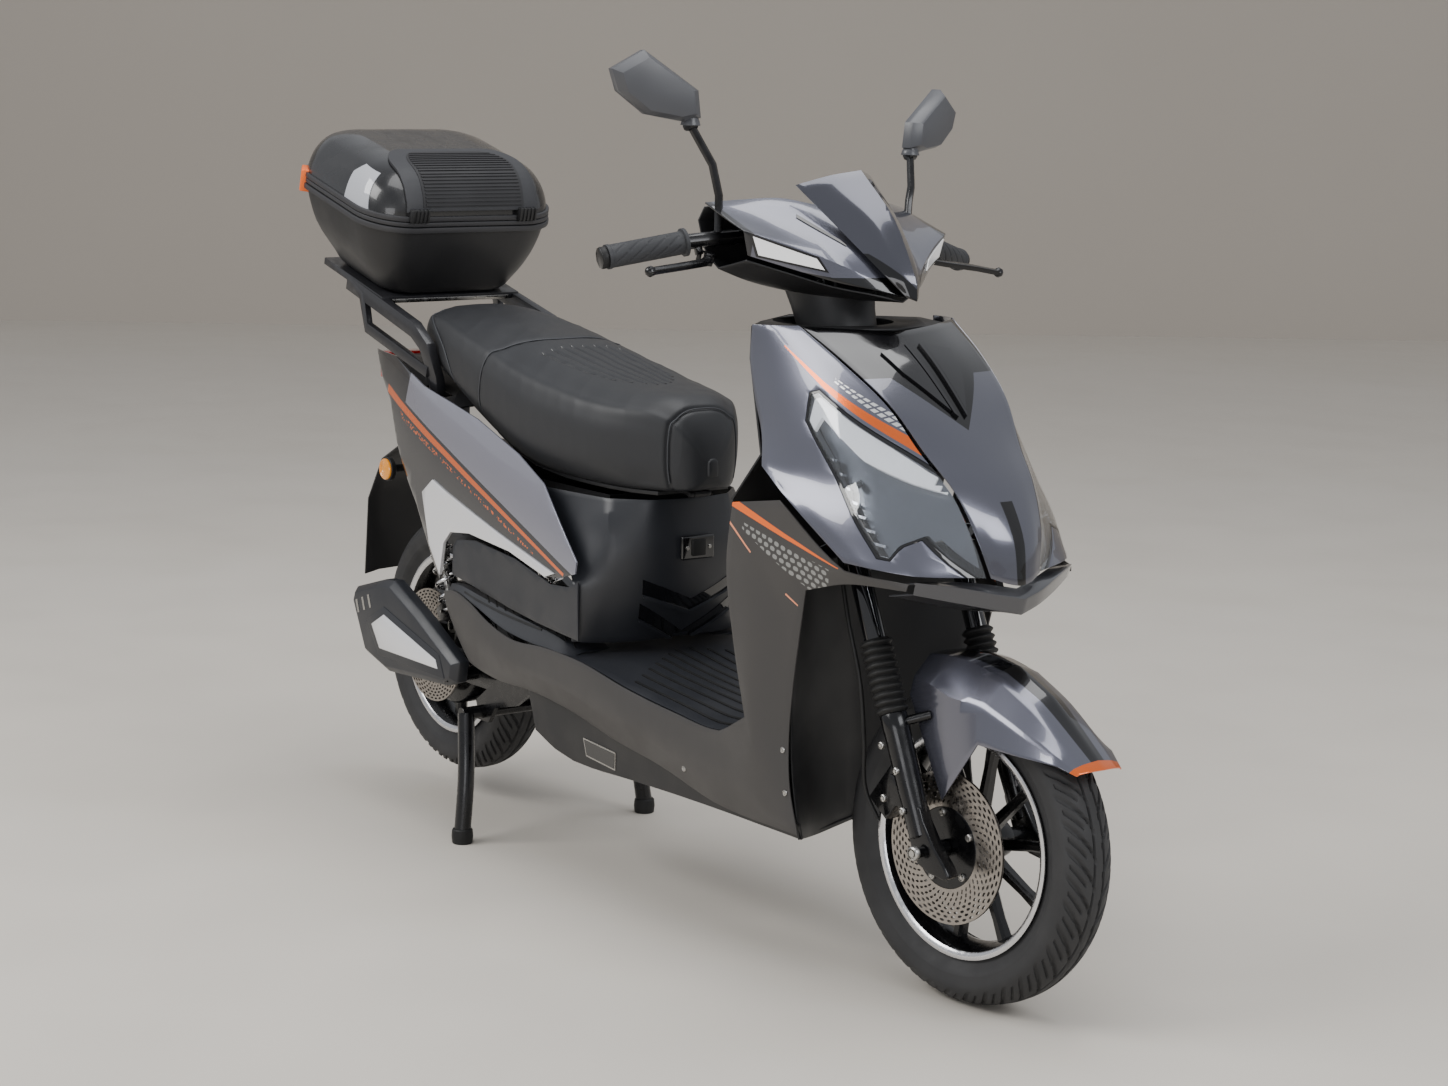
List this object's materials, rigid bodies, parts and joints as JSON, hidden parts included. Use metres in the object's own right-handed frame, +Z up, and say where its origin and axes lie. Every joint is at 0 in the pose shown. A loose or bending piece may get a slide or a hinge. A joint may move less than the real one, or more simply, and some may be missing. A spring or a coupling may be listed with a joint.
{
  "type": "seated electric scooter",
  "caption": "Step-through electric scooter on its centre stand, with a two-level seat, hub-motor rear wheel, telescopic fork, mirrors and a lidded top box.",
  "frame": {"origin": "on the ground under the middle of the bounding box", "axes": "+X forward, +Y to the rider's left, +Z up"},
  "size_m": [1.9042, 0.7246, 1.3084],
  "materials": {
    "grey_paint": "gloss",
    "silver_paint": "satin",
    "brown_plastic": "satin",
    "blue_black_plastic": "satin",
    "black_plastic": "satin",
    "gloss_black": "gloss",
    "clear_lens": "gloss",
    "red_lens": "gloss",
    "amber_lens": "gloss",
    "seat_vinyl": "matte",
    "tyre_rubber": "matte",
    "soft_rubber": "matte",
    "black_steel": "satin",
    "black_alloy": "satin",
    "bright_steel": "polished",
    "cell_case": "satin",
    "controller_case": "satin"
  },
  "bodies": {
    "frame": {"main_frame": "black_steel", "battery_pack": "cell_case", "controller": "controller_case", "underseat_tub": "black_plastic", "floorboard": "blue_black_plastic", "side_sill_right": "brown_plastic", "side_sill_left": "brown_plastic", "leg_shield_inner": "black_plastic", "front_fairing_right": "grey_paint", "front_fairing_left": "grey_paint", "headlight_right": "clear_lens", "headlight_left": "clear_lens", "nose_panel": "gloss_black", "front_beak": "blue_black_plastic", "under_cover": "black_plastic", "body_panel": "blue_black_plastic", "tail_cover_right": "grey_paint", "tail_cover_left": "grey_paint", "tail_wing_right": "silver_paint", "tail_wing_left": "silver_paint", "tail_light": "red_lens", "rear_fender": "black_plastic", "rear_indicator_right": "amber_lens", "rear_indicator_left": "amber_lens", "grab_rail": "black_alloy", "top_box_base": "black_plastic"},
    "charge_cap": {"charge_port_cap": "black_plastic"},
    "box_lid": {"top_box_lid": "gloss_black"},
    "seat": {"seat_cushion": "seat_vinyl", "seat_pan": "black_plastic"},
    "steering": {"fork_upper": "black_alloy", "handlebar": "black_steel", "bar_cover_front": "grey_paint", "bar_cover_rear": "black_plastic", "visor": "grey_paint", "grip_left": "soft_rubber"},
    "throttle": {"grip_right": "soft_rubber"},
    "brake_right": {"brake_lever_right": "black_steel"},
    "brake_left": {"brake_lever_left": "black_steel"},
    "mirror_head_right": {"mirror_right": "silver_paint"},
    "mirror_head_left": {"mirror_left": "silver_paint"},
    "fork_slider": {"fork_lower": "black_alloy", "front_fender": "grey_paint", "front_caliper": "black_alloy", "fork_boot_right": "soft_rubber", "fork_boot_left": "soft_rubber"},
    "front_wheel": {"front_rim": "black_alloy", "front_tyre": "tyre_rubber"},
    "rear_arm": {"swingarm": "black_steel", "swingarm_cover_right": "black_plastic", "swingarm_cover_left": "black_plastic"},
    "rear_wheel": {"rear_hub_wheel": "black_alloy", "rear_tyre": "tyre_rubber"},
    "shock_upper_right": {"shock_body_right": "bright_steel", "shock_spring_right": "bright_steel"},
    "shock_lower_right": {"shock_rod_right": "bright_steel"},
    "shock_upper_left": {"shock_body_left": "bright_steel", "shock_spring_left": "bright_steel"},
    "shock_lower_left": {"shock_rod_left": "bright_steel"},
    "stand": {"centre_stand": "black_steel"}
  },
  "joints": [
    {"name": "steer", "type": "hinge", "parent": "frame", "child": "steering", "pos_m": [0.69362, 0.00413, 0.21209], "axis": [-0.4003, 0, 0.9164], "range_deg": [-40.5, 29.5]},
    {"name": "fork_slide", "type": "slide", "parent": "steering", "child": "fork_slider", "axis": [-0.4003, 0, 0.9164], "range_m": [0, 0.055], "stiffness_N_per_m": 12000, "springref_m": -0.03, "deforming": ["fork_boot_right", "fork_boot_left"]},
    {"name": "front_wheel_spin", "type": "hinge", "parent": "fork_slider", "child": "front_wheel", "pos_m": [0.72646, 0.00758, 0.22643], "axis": [-0.0878, 0.9954, -0.0384], "continuous": true},
    {"name": "throttle_twist", "type": "hinge", "parent": "steering", "child": "throttle", "pos_m": [0.34533, -0.23366, 1.04315], "axis": [-0.2266, -0.96, -0.1646], "range_deg": [0, 70], "stiffness_Nm_per_rad": 0.3, "springref_deg": -17.19},
    {"name": "brake_squeeze_right", "type": "hinge", "parent": "steering", "child": "brake_right", "pos_m": [0.36825, -0.20942, 1.02024], "axis": [-0.2737, -0.0611, -0.9599], "range_deg": [0, 18], "stiffness_Nm_per_rad": 4, "springref_deg": -17.19},
    {"name": "brake_squeeze_left", "type": "hinge", "parent": "steering", "child": "brake_left", "pos_m": [0.33049, 0.2186, 1.00374], "axis": [0.2737, 0.0611, 0.9599], "range_deg": [0, 18], "stiffness_Nm_per_rad": 4, "springref_deg": -17.19},
    {"name": "mirror_tilt_right", "type": "hinge", "parent": "steering", "child": "mirror_head_right", "pos_m": [0.32897, -0.21579, 1.20556], "axis": [-0.0878, 0.9954, -0.0384], "range_deg": [-10, 10]},
    {"name": "mirror_tilt_left", "type": "hinge", "parent": "steering", "child": "mirror_head_left", "pos_m": [0.27781, 0.22699, 1.15945], "axis": [-0.0878, 0.9954, -0.0384], "range_deg": [-10, 10]},
    {"name": "swing", "type": "hinge", "parent": "frame", "child": "rear_arm", "pos_m": [-0.30561, 0.00413, 0.262], "axis": [0, 1, 0], "range_deg": [0, 9.5], "stiffness_Nm_per_rad": 1100, "springref_deg": -5.73},
    {"name": "rear_wheel_spin", "type": "hinge", "parent": "rear_arm", "child": "rear_wheel", "pos_m": [-0.65061, 0.00413, 0.2745], "axis": [0, 1, 0], "continuous": true},
    {"name": "shock_tilt_right", "type": "hinge", "parent": "frame", "child": "shock_upper_right", "pos_m": [-0.60261, -0.09987, 0.572], "axis": [0, 1, 0], "range_deg": [-7, 0]},
    {"name": "shock_slide_right", "type": "slide", "parent": "shock_upper_right", "child": "shock_lower_right", "axis": [-0.3446, 0, 0.9387], "range_m": [0, 0.027], "deforming": ["shock_spring_right"]},
    {"name": "shock_tilt_left", "type": "hinge", "parent": "frame", "child": "shock_upper_left", "pos_m": [-0.60261, 0.10813, 0.572], "axis": [0, 1, 0], "range_deg": [-7, 0]},
    {"name": "shock_slide_left", "type": "slide", "parent": "shock_upper_left", "child": "shock_lower_left", "axis": [-0.3446, 0, 0.9387], "range_m": [0, 0.027], "deforming": ["shock_spring_left"]},
    {"name": "stand_fold", "type": "hinge", "parent": "frame", "child": "stand", "pos_m": [-0.38861, 0.00413, 0.212], "axis": [0, 1, 0], "range_deg": [0, 80]},
    {"name": "seat_open", "type": "hinge", "parent": "frame", "child": "seat", "pos_m": [0.05339, 0.00413, 0.6295], "axis": [0, 1, 0], "range_deg": [0, 75]},
    {"name": "lid_open", "type": "hinge", "parent": "frame", "child": "box_lid", "pos_m": [-0.62474, 0.00413, 1.01709], "axis": [0, 1, 0], "range_deg": [0, 80]},
    {"name": "cap_open", "type": "hinge", "parent": "frame", "child": "charge_cap", "pos_m": [0.04639, 0.00413, 0.526], "axis": [0, 1, 0], "range_deg": [0, 90]}
  ],
  "couplings": [
    {"joint": "shock_tilt_right", "follows": "swing", "ratio": -0.66},
    {"joint": "shock_slide_right", "follows": "swing", "m_per_rad": 0.155},
    {"joint": "shock_tilt_left", "follows": "swing", "ratio": -0.66},
    {"joint": "shock_slide_left", "follows": "swing", "m_per_rad": 0.155}
  ]
}
